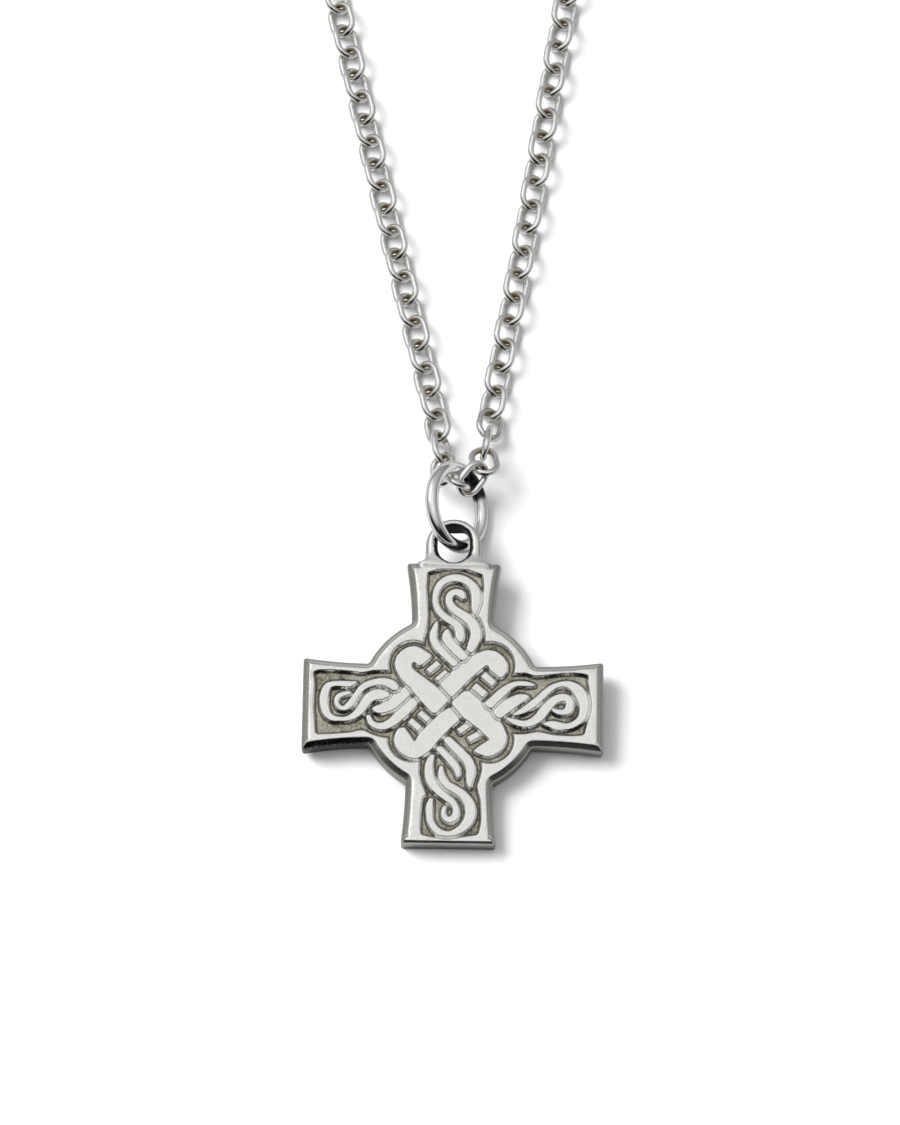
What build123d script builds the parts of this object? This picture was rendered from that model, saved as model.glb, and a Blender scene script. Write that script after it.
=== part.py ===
"""Celtic cross pendant lying on a table, with its ring, its chain and the chain's clasp.

Millimetres. The origin is the middle of the lower edge of the cross's back, on the table.
+Y runs from the foot of the cross to its eye and +Z is up.
"""
from build123d import *
import math
import os

# Cross, measured on its own face: u to the right, v towards the eye, w out of the back
REACH_UP = 11.75
REACH_LEFT = 11.95
REACH_RIGHT = 12.2
ARM_HALF = 3.7
WAIST_HALF = 3.22
WAIST_AT = 6.4
DISC_RADIUS = 7.4
THICKNESS = 2.0
BEVEL = 0.37
CORNER = 0.24
JOIN = 0.35
LEAN = 3.8

# Each arm by its turn: waist and end to its left, then to its right, as shares of the halves above
ARM_SIDES = {
    0: ((1.02, 1.02), (1.04, 1.05)),
    90: ((1.09, 1.10), (1.00, 0.98)),
    180: ((1.05, 1.00), (1.11, 1.05)),
    270: ((0.98, 0.97), (1.11, 1.07)),
}

# Sunk panels and the raised interlace
SINK = 0.45
BELOW_RIM = 0.03
ROUNDEL_AT = 3.1
ROUNDEL_RADIUS = 2.02
STRAND_WIDTH = 0.62
BAR_WIDTH = 1.4
STRIP_LENGTH = 0.9
STRIP_WIDTH = 0.42

# Eye, cast in one with the cross, its heights from the end of the top arm
EYE_HALF = 2.27
EYE_ARC_AT = 1.55
EYE_FOOT_HALF = 3.0
EYE_FOOT_TOP = 0.75
EYE_THICKNESS = 1.1
EYE_BACK = 0.65
EYE_ROUND = 0.3
SLOT_WIDTH = 2.6
SLOT_FROM = 0.15
SLOT_TO = 3.2

# Ring through the eye, leaning on the eye with its right side on the table
RING_RADIUS = 3.26
RING_WIRE = 1.1
RING_ACROSS = 0.21
RING_PAST_EYE = 1.04
RING_LEAN = 51.4
RING_SWING = -5.7
TABLE_GAP = 0.02

# Chain of oval links
WIRE = 0.46
LINK_WIDTH = 2.45
LINK_LENGTH = 3.23
LINK_PLAY = 0.16
LINK_ROLL = 35.0

# Plan of the loop from the middle of the ring: two legs spread to a far bend with the clasp
LEGS_MEET = (0.87, -2.64)
LOOP_SWING = 2.2
LEG_SPREAD = 11.0
LOOP_LENGTH = 205.0
STRAIGHT_FROM = 49.4
RIGHT_NEAR = ((2.87, 10.30), (5.19, 24.10))
LEFT_NEAR = ((-2.11, 10.20), (-6.16, 27.10))

# Clasp and the ring it closes on
CLASP_RADIUS = 2.1
CLASP_WIRE = 0.8
CLASP_ROLL = 15.0
CLASP_EYE_RADIUS = 1.0
CLASP_EYE_WIRE = 0.5
CLASP_EYE_AT = 3.4
END_RING_RADIUS = 1.4
END_RING_WIRE = 0.56
END_RING_AT = 2.4
END_RING_ROLL = 30.0
LAST_LINK_RIGHT = 4.5
LAST_LINK_LEFT = 4.3

# Strands of an arm as shares: across of ARM_HALF, out of the reach, width of STRAND_WIDTH
STRANDS = {
    "outer_scroll": (
        (0.438, 0.654, 0.40),
        (0.465, 0.717, 0.94),
        (0.459, 0.785, 0.97),
        (0.338, 0.852, 0.97),
        (0.122, 0.890, 1.00),
        (-0.122, 0.879, 1.00),
        (-0.324, 0.831, 0.94),
        (-0.405, 0.759, 0.81),
        (-0.351, 0.684, 0.84),
        (-0.189, 0.624, 0.90),
        (0.000, 0.582, 0.97),
        (0.135, 0.536, 1.00),
        (0.178, 0.485, 0.81),
        (0.178, 0.447, 0.48),
    ),
    "inner_scroll": (
        (0.384, 0.388, 0.65),
        (0.459, 0.447, 1.00),
        (0.481, 0.506, 1.10),
        (0.392, 0.570, 1.10),
        (0.230, 0.620, 1.06),
        (0.068, 0.658, 0.97),
        (-0.059, 0.709, 0.84),
        (-0.076, 0.764, 0.77),
        (0.032, 0.797, 0.74),
        (0.149, 0.785, 0.68),
        (0.184, 0.747, 0.55),
    ),
    "outer_plait": (
        (0.059, 0.270, 1.00),
        (-0.122, 0.329, 1.03),
        (-0.311, 0.388, 1.00),
        (-0.419, 0.447, 0.84),
        (-0.432, 0.506, 0.74),
        (-0.405, 0.553, 0.39),
    ),
    "inner_plait": (
        (0.265, 0.329, 1.00),
        (0.095, 0.388, 1.13),
        (-0.049, 0.443, 1.06),
        (-0.135, 0.489, 0.68),
        (-0.149, 0.519, 0.32),
    ),
}

# Edge of an arm's sunk panel as shares: across of ARM_HALF, out of the reach
PANEL = (
    (-0.649, 0.200),
    (-0.649, 0.422),
    (-0.662, 0.489),
    (-0.595, 0.565),
    (-0.608, 0.641),
    (-0.662, 0.759),
    (-0.649, 0.924),
    (-0.324, 0.941),
    (0.054, 0.954),
    (0.351, 0.941),
    (0.649, 0.920),
    (0.676, 0.810),
    (0.662, 0.709),
    (0.608, 0.616),
    (0.676, 0.532),
    (0.689, 0.422),
    (0.689, 0.200),
)

# Hooked bar of the crossing as shares: across and up of DISC_RADIUS, width of BAR_WIDTH
BAR = (
    (-0.105, -0.057, 1.14),
    (-0.203, 0.061, 1.07),
    (-0.331, 0.189, 0.94),
    (-0.453, 0.304, 0.82),
    (-0.530, 0.405, 0.82),
    (-0.503, 0.507, 0.86),
    (-0.405, 0.538, 0.89),
    (-0.311, 0.486, 0.82),
    (-0.273, 0.449, 0.71),
)

# Middles of the two short strips inside each hook, across and up
STRIPS = ((-1.45, 2.87), (-0.75, 2.18))

# Links that thread the ring: across and along from its middle, height, heading, climb, roll
RING_LINKS = (
    (-1.72, 8.06, 1.03, -78, 11, 37),
    (-1.36, 5.93, 1.39, -84, 12, -57),
    (-1.21, 3.80, 1.90, -88, 13, 36),
    (-0.32, 2.31, 3.05, -43, 37, -61),
    (1.22, 2.49, 3.17, 52, 10, 51),
    (2.20, 4.18, 2.86, 99, -24, 7),
    (2.32, 6.16, 1.95, 82, -25, -83),
    (2.63, 8.18, 1.17, 81, -19, 29),
)


def arm(reach, turn):
    """Outline of one flared arm from the crossing to its end."""
    edges = []
    for way, (waist_share, tip_share) in zip((-1, 1), ARM_SIDES[turn]):
        waist = (way * WAIST_HALF * waist_share, WAIST_AT)
        tip = (way * ARM_HALF * tip_share, reach)
        edges += [Line((0, 0), (waist[0], 0)), Line((waist[0], 0), waist)]
        edges += [TangentArc(waist, tip, tangent=(0, 1)), Line(tip, (0, reach))]
    return Rot(0, 0, turn) * make_face(edges)


def band(points):
    """Flat strip along chosen middle points, each with its own width."""
    left = []
    right = []
    for i, (u, v, width) in enumerate(points):
        ahead = points[min(i + 1, len(points) - 1)]
        behind = points[max(i - 1, 0)]
        du = ahead[0] - behind[0]
        dv = ahead[1] - behind[1]
        half = width / 2 / math.hypot(du, dv)
        left.append((u - dv * half, v + du * half))
        right.append((u + dv * half, v - du * half))
    edges = [Spline(*left), Line(left[-1], right[-1]), Spline(*right[::-1]), Line(right[0], left[0])]
    return make_face(edges)


def raised(face):
    """Island from just under the floor of the sunk panels to just under the rim."""
    floor = THICKNESS - SINK - 0.05
    return Pos(0, 0, floor) * extrude(face, THICKNESS - BELOW_RIM - floor)


def reach_of(turn):
    """Reach of the arm at this turn."""
    return {90: REACH_LEFT, 270: REACH_RIGHT}.get(turn, REACH_UP)


def eye():
    """Slot eye with rounded edges and a spreading foot."""
    knee = (EYE_HALF, REACH_UP + EYE_FOOT_TOP)
    shoulder = (EYE_HALF, REACH_UP + EYE_ARC_AT)
    foot = (EYE_FOOT_HALF, REACH_UP - 0.05)
    root = (EYE_FOOT_HALF, REACH_UP - 0.6)
    sides = [TangentArc(knee, foot, tangent=(0, -1)), Line(knee, shoulder), Line(foot, root)]
    other = [mirror(side, Plane.YZ) for side in sides]
    crown = ThreePointArc(shoulder, (0, shoulder[1] + EYE_HALF), (-EYE_HALF, shoulder[1]))
    base = Line(root, (-EYE_FOOT_HALF, REACH_UP - 0.6))
    low = REACH_UP + SLOT_FROM + SLOT_WIDTH / 2
    high = REACH_UP + SLOT_TO - SLOT_WIDTH / 2
    slot = Pos(0, (low + high) / 2) * Rectangle(SLOT_WIDTH, high - low)
    slot += Pos(0, low) * Circle(SLOT_WIDTH / 2)
    slot += Pos(0, high) * Circle(SLOT_WIDTH / 2)
    loop = extrude(make_face([*sides, *other, crown, base]) - slot, EYE_THICKNESS)
    above = REACH_UP + SLOT_FROM
    rims = [edge for edge in loop.edges() if edge.center().Y > above and not is_upright(edge)]
    return Pos(0, 0, EYE_BACK) * fillet(rims, EYE_ROUND)


def is_upright(edge):
    """Whether an edge runs through the thickness."""
    return abs(edge.position_at(0).Z - edge.position_at(1).Z) > 0.01


def cross():
    """Cross with its disc, sunk panels, raised interlace and eye, as one cast piece."""
    outline = Circle(DISC_RADIUS)
    for turn in (0, 90, 180, 270):
        outline += arm(reach_of(turn), turn)
    joins = [v for v in outline.vertices() if abs(math.hypot(v.X, v.Y) - DISC_RADIUS) < 0.02]
    body = extrude(fillet(joins, JOIN), THICKNESS)
    body = chamfer(body.faces().sort_by(Axis.Z)[-1].edges(), BEVEL)
    far = DISC_RADIUS + 2
    tips = [e for e in body.edges() if is_upright(e) and math.hypot(e.center().X, e.center().Y) > far]
    body = fillet(tips, CORNER)
    sunk = Rectangle(2 * ROUNDEL_AT, 2 * ROUNDEL_AT)
    islands = []
    for turn in (0, 90, 180, 270):
        reach = reach_of(turn)
        edge = [(u * ARM_HALF, v * reach) for u, v in PANEL]
        sunk += Rot(0, 0, turn) * make_face(Polyline(*edge, close=True))
        sunk += Rot(0, 0, turn) * Pos(ROUNDEL_AT, ROUNDEL_AT) * Circle(ROUNDEL_RADIUS)
        for shares in STRANDS.values():
            points = [(u * ARM_HALF, v * reach, w * STRAND_WIDTH) for u, v, w in shares]
            islands.append(Rot(0, 0, turn) * raised(band(points)))
        hook = [(u * DISC_RADIUS, v * DISC_RADIUS, w * BAR_WIDTH) for u, v, w in BAR]
        islands.append(Rot(0, 0, turn) * raised(band(hook)))
        for u, v in STRIPS:
            strip = Pos(u, v) * Rot(0, 0, 45) * Rectangle(STRIP_LENGTH, STRIP_WIDTH)
            islands.append(Rot(0, 0, turn) * raised(strip))
    body -= Pos(0, 0, THICKNESS - SINK) * extrude(sunk, 1)
    body = body.fuse(*islands, eye())
    return Rot(LEAN, 0, 0) * Pos(0, REACH_UP, 0) * body


def ring_centre():
    """Middle of the ring in plan, just past the crown of the eye."""
    crown = 2 * REACH_UP + EYE_ARC_AT + EYE_HALF
    return (RING_ACROSS, crown * math.cos(math.radians(LEAN)) + RING_PAST_EYE)


def past_ring(point):
    """Point of the plan that is given from the middle of the ring."""
    centre = ring_centre()
    return (centre[0] + point[0], centre[1] + point[1])


def pendant_ring():
    """Round wire ring through the eye."""
    lean = math.radians(RING_LEAN)
    swing = math.radians(RING_SWING)
    down = Vector(math.cos(lean) * math.cos(swing), math.cos(lean) * math.sin(swing), -math.sin(lean))
    along = Vector(-math.sin(swing), math.cos(swing), 0)
    height = RING_WIRE / 2 + TABLE_GAP + RING_RADIUS * math.sin(lean)
    plane = Plane((*ring_centre(), height), x_dir=down, z_dir=down.cross(along))
    return plane * Torus(RING_RADIUS, RING_WIRE / 2)


def oval_link():
    """One link of round wire, its length along X and its width along Y."""
    bend = (LINK_WIDTH - WIRE) / 2
    half = (LINK_LENGTH - LINK_WIDTH) / 2
    path = Wire(
        [
            Line((-half, -bend), (half, -bend)),
            ThreePointArc((half, -bend), (half + bend, 0), (half, bend)),
            Line((half, bend), (-half, bend)),
            ThreePointArc((-half, bend), (-half - bend, 0), (-half, -bend)),
        ]
    )
    return sweep(Plane((0, -bend, 0), z_dir=(1, 0, 0)) * Circle(WIRE / 2), path)


def laid(piece, centre, heading, climb, roll):
    """A piece at a point, turned to its heading, climb and roll in degrees."""
    return Pos(*centre) * Rot(0, 0, heading) * Rot(0, -climb, 0) * Rot(roll, 0, 0) * piece


def from_meeting(distance, heading):
    """Point at this distance from where the legs meet, heading in degrees left of +Y."""
    angle = math.radians(heading)
    meet = past_ring(LEGS_MEET)
    return (meet[0] - distance * math.sin(angle), meet[1] + distance * math.cos(angle))


def half_route(near, heading, clasp_point):
    """Way of one leg from its first link on the table to its last one at the clasp."""
    angle = math.radians(heading)
    leg = (-math.sin(angle), math.cos(angle))
    corner = from_meeting(LOOP_LENGTH / math.cos(math.radians(LEG_SPREAD)), heading)
    back = math.hypot(corner[0] - clasp_point[0], corner[1] - clasp_point[1])
    bend_start = (corner[0] - back * leg[0], corner[1] - back * leg[1])
    straight = from_meeting(STRAIGHT_FROM, heading)
    start = (near[1][0] - near[0][0], near[1][1] - near[0][1])
    bends = [past_ring(point) for point in near]
    first = Spline(*bends, straight, tangents=[start, leg])
    return Wire([first, Line(straight, bend_start), TangentArc(bend_start, clasp_point, tangent=leg)])


def links_along(route, first_side):
    """Links at an even pitch along a route, rolled to each side in turn, the last one to side -1."""
    pitch = LINK_LENGTH - 2 * WIRE - LINK_PLAY
    odd = 1 if first_side > 0 else 0
    steps = 2 * round((route.length / pitch - odd) / 2) + odd
    height = (LINK_WIDTH - WIRE) / 2 * math.sin(math.radians(LINK_ROLL)) + WIRE / 2 + TABLE_GAP
    link = oval_link()
    row = []
    for i in range(steps + 1):
        distance = route.length * i / steps
        at = route.position_at(distance, position_mode=PositionMode.LENGTH)
        way = route.tangent_at(distance, position_mode=PositionMode.LENGTH)
        heading = math.degrees(math.atan2(way.Y, way.X))
        roll = LINK_ROLL * first_side * (-1) ** i
        row.append(laid(link, (at.X, at.Y, height), heading, 0, roll))
    return row


def clasp():
    """Plain bolt ring with its small eye, middle at the origin and the eye on -X."""
    hoop = Torus(CLASP_RADIUS, CLASP_WIRE / 2)
    return hoop + Pos(-CLASP_EYE_AT, 0, 0) * Torus(CLASP_EYE_RADIUS, CLASP_EYE_WIRE / 2)


top = from_meeting(LOOP_LENGTH, LOOP_SWING)
far_heading = 180 + LOOP_SWING
far_way = (math.cos(math.radians(far_heading)), math.sin(math.radians(far_heading)))
right_end = (top[0] - LAST_LINK_RIGHT * far_way[0], top[1] - LAST_LINK_RIGHT * far_way[1])
left_end = (top[0] + LAST_LINK_LEFT * far_way[0], top[1] + LAST_LINK_LEFT * far_way[1])
right_leg = half_route(RIGHT_NEAR, LOOP_SWING - LEG_SPREAD, right_end)
left_leg = half_route(LEFT_NEAR, LOOP_SWING + LEG_SPREAD, left_end)

links = [laid(oval_link(), (*past_ring(row[:2]), row[2]), *row[3:]) for row in RING_LINKS]
links += links_along(right_leg, -1)
links += links_along(left_leg, 1)

clasp_height = CLASP_RADIUS * math.sin(math.radians(CLASP_ROLL)) + CLASP_WIRE / 2 + TABLE_GAP
ring_height = END_RING_RADIUS * math.sin(math.radians(END_RING_ROLL)) + END_RING_WIRE / 2 + TABLE_GAP
ring_at = (top[0] + END_RING_AT * far_way[0], top[1] + END_RING_AT * far_way[1], ring_height)
end_ring = Torus(END_RING_RADIUS, END_RING_WIRE / 2)

nodes = {
    "cross_pendant": cross(),
    "pendant_ring": pendant_ring(),
    "chain": Compound(children=links),
    "clasp": laid(clasp(), (*top, clasp_height), far_heading, 0, CLASP_ROLL),
    "clasp_ring": laid(end_ring, ring_at, far_heading, 0, -END_RING_ROLL),
}

os.makedirs("parts", exist_ok=True)
for name, shape in nodes.items():
    shape.label = name
    export_step(shape, os.path.join("parts", name + ".step"))
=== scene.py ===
"""Celtic cross pendant on its ring and chain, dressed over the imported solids."""
import math

import bmesh
import bpy
import numpy as np
from mathutils import Matrix, Vector
from mathutils.geometry import delaunay_2d_cdt


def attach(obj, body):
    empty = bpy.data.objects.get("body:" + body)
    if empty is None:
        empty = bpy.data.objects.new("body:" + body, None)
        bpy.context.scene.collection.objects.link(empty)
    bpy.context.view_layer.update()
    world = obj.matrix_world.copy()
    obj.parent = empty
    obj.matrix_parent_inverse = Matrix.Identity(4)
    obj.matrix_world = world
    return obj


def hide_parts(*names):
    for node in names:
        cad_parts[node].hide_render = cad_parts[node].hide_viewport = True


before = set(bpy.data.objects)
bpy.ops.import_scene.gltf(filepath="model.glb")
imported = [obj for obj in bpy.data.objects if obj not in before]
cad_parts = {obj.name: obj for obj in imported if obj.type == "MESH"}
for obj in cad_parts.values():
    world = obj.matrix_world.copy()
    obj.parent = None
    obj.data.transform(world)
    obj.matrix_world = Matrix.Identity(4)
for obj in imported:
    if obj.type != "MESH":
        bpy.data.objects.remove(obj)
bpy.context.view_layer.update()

MM = 0.001
TINY = 1e-9

# Cross, in millimetres on its own face: u to the right, v towards the eye, w out of the back
LEAN = math.radians(3.8)
FOOT_TO_CENTRE = 11.75
THICKNESS = 2.0
DISC_RADIUS = 7.4
ARM_HALF = 3.7
WAIST_HALF = 3.22
WAIST_AT = 6.4
TIP_CORNER = 0.24
ARM_JOIN = 0.35
JOIN_AT = 6.8
BACK_EDGE = 0.05

# Past these places the edge belongs to the end of the top arm, and to the end of the foot
TOP_END = 11.0
FOOT_END = -10.5

# Bevel: profile as inset and height, then the share of it along lower edges, at the foot, under the eye
BEVEL_PROFILE = (
    (0.0, 0.05), (0.0, 0.8), (0.0, 1.44), (0.03, 1.50), (0.15, 1.62), (0.28, 1.75), (0.41, 1.88),
    (0.50, 1.96), (0.58, 2.0),
)
LOWER_BEVEL = 0.88
FOOT_BEVEL = 0.4
EYE_BEVEL = 0.2
SIDE_SPREAD = 0.3

# Relief: depth of the ground, slant of its walls, groove between raised edges and unevenness of the cast
SINK = 0.46
WALL_FOOT = 0.23
WALL_SPREAD = 0.29
GROOVE = 0.22
CORNER_CUT = 0.14
STRAND_FULLER = 0.03
BAR_FULLER = 0.06
STRAND_HIGH = 0.95
STRAND_EDGE = 0.02
WAVE = 0.010
WAVE_DOWN = 0.012

# Painted dark reflection on walls that face the foot, by their slope, least of all near the middle
WALL_PAINTED_DARK = 0.9
WALL_PAINTED_DARK_SLOPE = 0.4
WALL_PAINTED_DARK_SPAN = 1.4
MIDDLE_PAINTED_DARK = 0.45
SLOPE_STEP = 0.03

# Painted dark reflection under the bevel's top on lower edges: everywhere, and out on the left arm
EDGE_PAINTED_DARK = 0.1
EDGE_PAINTED_DARK_TOP = 1.9
LEFT_PAINTED_DARK = 0.65
LEFT_PAINTED_DARK_FROM = 5.0
LEFT_PAINTED_DARK_SPAN = 2.0

# Steps along the cross's outline, and spacings of the points on its face with where each of them is used
ROUND_STEPS = 6
SIDE_STEPS = 14
TIP_STEPS = 28
DISC_STEPS = 12
COARSE = 0.3
MIDDLE = 0.12
FINE = 0.055
ROW_SHARE = 0.866
FACE_TALL = 12.0
FACE_WIDE = 12.2
RIM_CLEAR = 0.12
POCKET_MARGIN = 0.3
POCKETS_END = 11.6
TURN_FROM = -0.12
TURN_TO = 0.29

# How far an edge or strand reaches out to be looked at, and a distance farther than any that matters
NEAR = 0.9
FAR = 9.0

# Arms by their turn on the face: reach, then shares of waist and end on the left and on the right
ARMS = {
    0: (11.75, (1.02, 1.02), (1.04, 1.05)),
    90: (11.95, (1.09, 1.10), (1.00, 0.98)),
    180: (11.75, (1.05, 1.00), (1.11, 1.05)),
    270: (12.2, (0.98, 0.97), (1.11, 1.07)),
}

# Edges of the sunk panels, each in its arm's own frame
PANELS = {
    0: [(-2.35, 2.6), (-2.35, 4.75), (-2.3, 5.3), (-2.12, 6.0), (-2.0, 6.7), (-1.98, 7.3), (-2.05, 8.0),
        (-2.12, 8.8), (-2.15, 9.6), (-2.1, 10.3), (-2.08, 10.85), (-1.6, 11.0), (-1.0, 11.2),
        (-0.3, 11.33), (0.4, 11.36), (1.0, 11.2), (1.7, 10.95), (2.4, 10.7), (2.5, 10.0), (2.5, 9.4),
        (2.38, 8.9), (2.45, 8.3), (2.25, 7.7), (2.0, 7.25), (2.3, 6.95), (2.55, 6.4), (2.7, 5.7),
        (2.7, 4.95), (2.7, 2.6)],
    270: [(-2.45, 2.6), (-2.45, 5.4), (-2.5, 5.9), (-2.25, 6.6), (-2.27, 7.05), (-2.32, 7.5),
          (-2.4, 8.2), (-2.5, 8.9), (-2.55, 9.8), (-2.5, 10.5), (-2.36, 11.0), (-1.8, 10.95),
          (-1.27, 11.08), (-0.55, 11.17), (0.1, 11.27), (1.0, 11.15), (1.8, 10.88), (2.62, 10.68),
          (2.7, 9.8), (2.7, 8.9), (2.65, 8.2), (2.48, 7.5), (2.4, 6.95), (2.5, 6.5), (2.6, 5.95),
          (2.62, 5.3), (2.62, 2.6)],
    180: [(-2.5, 2.6), (-2.5, 5.0), (-2.55, 5.6), (-2.4, 6.3), (-2.2, 6.95), (-2.23, 7.4), (-2.4, 7.95),
          (-2.5, 8.6), (-2.55, 9.5), (-2.5, 10.2), (-2.3, 11.0), (-1.45, 11.15), (-0.64, 11.3),
          (0.1, 11.34), (1.1, 11.32), (1.64, 11.22), (2.27, 11.05), (2.34, 10.6), (2.34, 9.5),
          (2.28, 8.6), (2.18, 8.0), (1.9, 7.75), (2.1, 7.3), (2.36, 6.7), (2.52, 5.95), (2.5, 5.3),
          (2.5, 2.6)],
    90: [(-3.1, 2.6), (-3.1, 5.2), (-3.0, 5.8), (-2.8, 6.4), (-2.5, 6.95), (-2.5, 7.4), (-2.68, 7.95),
         (-2.77, 8.9), (-2.84, 9.8), (-2.9, 10.85), (-1.7, 10.95), (-0.7, 11.07), (0.36, 11.07),
         (1.45, 10.98), (2.27, 11.15), (2.47, 10.8), (2.52, 9.8), (2.47, 8.9), (2.4, 7.95), (2.3, 7.3),
         (2.35, 6.95), (2.5, 6.3), (2.55, 5.2), (2.55, 2.6)],
}
CROSSING_HALF = 3.1
ROUNDEL_AT = 3.1
ROUNDEL_RADIUS = 2.0

# Strands of each arm in the arm's own frame: along the middle, with the width there
STRANDS = {
    0: [
        [(0.35, 3.1, 0.62), (-0.1, 3.5, 0.6), (-0.7, 4.08, 0.6), (-1.25, 4.68, 0.6), (-1.5, 5.25, 0.55),
         (-1.48, 5.8, 0.5), (-1.35, 6.3, 0.35), (-1.25, 6.65, 0.12)],
        [(0.98, 3.68, 0.75), (0.45, 4.2, 0.8), (-0.05, 4.78, 0.8), (-0.42, 5.3, 0.7), (-0.45, 5.7, 0.5),
         (-0.4, 6.0, 0.15)],
        [(1.85, 7.3, 0.1), (1.8, 7.8, 0.45), (1.86, 8.4, 0.68), (1.88, 9.0, 0.72), (1.68, 9.6, 0.68),
         (1.25, 10.07, 0.62), (0.7, 10.35, 0.6), (0.1, 10.43, 0.58), (-0.5, 10.28, 0.55),
         (-1.0, 9.9, 0.5), (-1.3, 9.35, 0.45), (-1.42, 8.7, 0.38), (-1.32, 8.05, 0.42),
         (-1.0, 7.45, 0.5), (-0.5, 7.0, 0.55), (0.0, 6.7, 0.58), (0.42, 6.35, 0.66), (0.6, 5.9, 0.68),
         (0.62, 5.45, 0.62), (0.6, 5.2, 0.4)],
        [(1.5, 4.45, 0.6), (1.72, 4.95, 0.75), (1.9, 5.5, 0.8), (1.85, 6.1, 0.8), (1.5, 6.75, 0.78),
         (0.95, 7.2, 0.72), (0.4, 7.55, 0.66), (-0.05, 7.95, 0.6), (-0.3, 8.45, 0.5), (-0.22, 8.95, 0.5),
         (0.15, 9.22, 0.5), (0.6, 9.12, 0.6), (0.8, 8.85, 0.4)],
    ],
    270: [
        [(0.3, 2.95, 0.7), (-0.2, 3.45, 0.68), (-0.85, 4.1, 0.65), (-1.35, 4.7, 0.5),
         (-1.58, 5.25, 0.38), (-1.6, 5.8, 0.4), (-1.55, 6.3, 0.3), (-1.5, 6.65, 0.1)],
        [(1.0, 3.7, 0.85), (0.5, 4.25, 0.95), (0.05, 4.85, 0.92), (-0.3, 5.4, 0.78), (-0.45, 5.85, 0.5),
         (-0.5, 6.15, 0.15)],
        [(1.75, 7.45, 0.1), (1.75, 7.95, 0.5), (1.88, 8.5, 0.68), (1.93, 9.1, 0.5), (1.8, 9.7, 0.48),
         (1.4, 10.3, 0.5), (0.85, 10.6, 0.6), (0.2, 10.68, 0.72), (-0.5, 10.5, 0.85),
         (-1.15, 10.1, 0.85), (-1.55, 9.5, 0.6), (-1.62, 8.9, 0.42), (-1.42, 8.25, 0.42),
         (-0.95, 7.65, 0.48), (-0.4, 7.1, 0.52), (0.1, 6.55, 0.55), (0.5, 6.0, 0.5), (0.8, 5.5, 0.35),
         (1.0, 5.05, 0.12)],
        [(1.4, 4.6, 0.25), (1.6, 5.1, 0.45), (1.76, 5.8, 0.5), (1.62, 6.45, 0.6), (1.2, 7.05, 0.7),
         (0.6, 7.5, 0.72), (0.05, 7.95, 0.68), (-0.35, 8.45, 0.62), (-0.5, 9.0, 0.6), (-0.3, 9.42, 0.6),
         (0.1, 9.52, 0.62), (0.55, 9.4, 0.6), (0.74, 9.0, 0.42), (0.72, 8.6, 0.4), (0.62, 8.3, 0.3)],
    ],
    180: [
        [(0.2, 3.25, 0.6), (-0.4, 3.85, 0.68), (-0.95, 4.4, 0.7), (-1.42, 4.95, 0.72), (-1.65, 5.6, 0.7),
         (-1.6, 6.2, 0.6), (-1.55, 6.7, 0.4), (-1.6, 7.05, 0.15)],
        [(0.85, 4.0, 0.5), (0.35, 4.5, 0.55), (-0.15, 5.05, 0.6), (-0.5, 5.55, 0.52), (-0.62, 6.0, 0.35),
         (-0.62, 6.25, 0.12)],
        [(1.5, 8.2, 0.3), (1.6, 8.75, 0.5), (1.6, 9.4, 0.46), (1.5, 10.0, 0.48), (1.15, 10.55, 0.5),
         (0.65, 10.9, 0.5), (0.0, 10.97, 0.42), (-0.6, 10.75, 0.5), (-1.15, 10.35, 0.65),
         (-1.55, 9.75, 0.75), (-1.68, 9.05, 0.78), (-1.5, 8.35, 0.75), (-1.0, 7.7, 0.65),
         (-0.35, 7.25, 0.6), (0.2, 6.95, 0.6), (0.55, 6.5, 0.6), (0.7, 6.0, 0.45), (0.72, 5.5, 0.25)],
        [(1.45, 4.6, 0.3), (1.65, 5.1, 0.55), (1.7, 5.8, 0.62), (1.6, 6.4, 0.66), (1.3, 7.0, 0.66),
         (0.85, 7.5, 0.6), (0.3, 7.95, 0.55), (-0.2, 8.35, 0.5), (-0.5, 8.9, 0.45), (-0.45, 9.5, 0.5),
         (-0.05, 9.8, 0.5), (0.35, 9.65, 0.4), (0.5, 9.2, 0.3), (0.4, 8.8, 0.25)],
    ],
    90: [
        [(-0.15, 3.1, 0.75), (-0.75, 3.65, 0.8), (-1.3, 4.2, 0.78), (-1.8, 4.75, 0.68),
         (-2.1, 5.35, 0.6), (-2.1, 5.95, 0.5), (-1.85, 6.4, 0.45), (-1.4, 6.6, 0.35)],
        [(0.6, 3.85, 1.0), (0.1, 4.4, 1.05), (-0.35, 4.95, 0.95), (-0.65, 5.5, 0.75), (-0.72, 5.9, 0.6),
         (-0.72, 6.15, 0.3)],
        [(1.5, 7.7, 0.15), (1.35, 8.2, 0.45), (1.37, 8.8, 0.45), (1.35, 9.4, 0.4), (1.15, 9.92, 0.5),
         (0.6, 10.15, 0.6), (0.0, 10.22, 0.62), (-0.6, 10.15, 0.6), (-1.15, 9.95, 0.55),
         (-1.5, 9.55, 0.45), (-1.58, 9.0, 0.35), (-1.55, 8.4, 0.35), (-1.3, 7.8, 0.5),
         (-0.85, 7.3, 0.62), (-0.3, 6.95, 0.68), (0.2, 6.6, 0.75), (0.48, 6.1, 0.85), (0.5, 5.6, 0.8),
         (0.4, 5.1, 0.5)],
        [(0.95, 4.35, 0.5), (1.35, 4.8, 0.7), (1.58, 5.4, 0.6), (1.55, 6.1, 0.52), (1.3, 6.8, 0.5),
         (0.9, 7.3, 0.45), (0.3, 7.7, 0.42), (-0.25, 8.05, 0.5), (-0.65, 8.5, 0.38), (-0.6, 8.95, 0.35),
         (-0.2, 9.2, 0.3), (0.25, 9.1, 0.35), (0.5, 8.7, 0.35), (0.62, 8.2, 0.25)],
    ],
}

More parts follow.
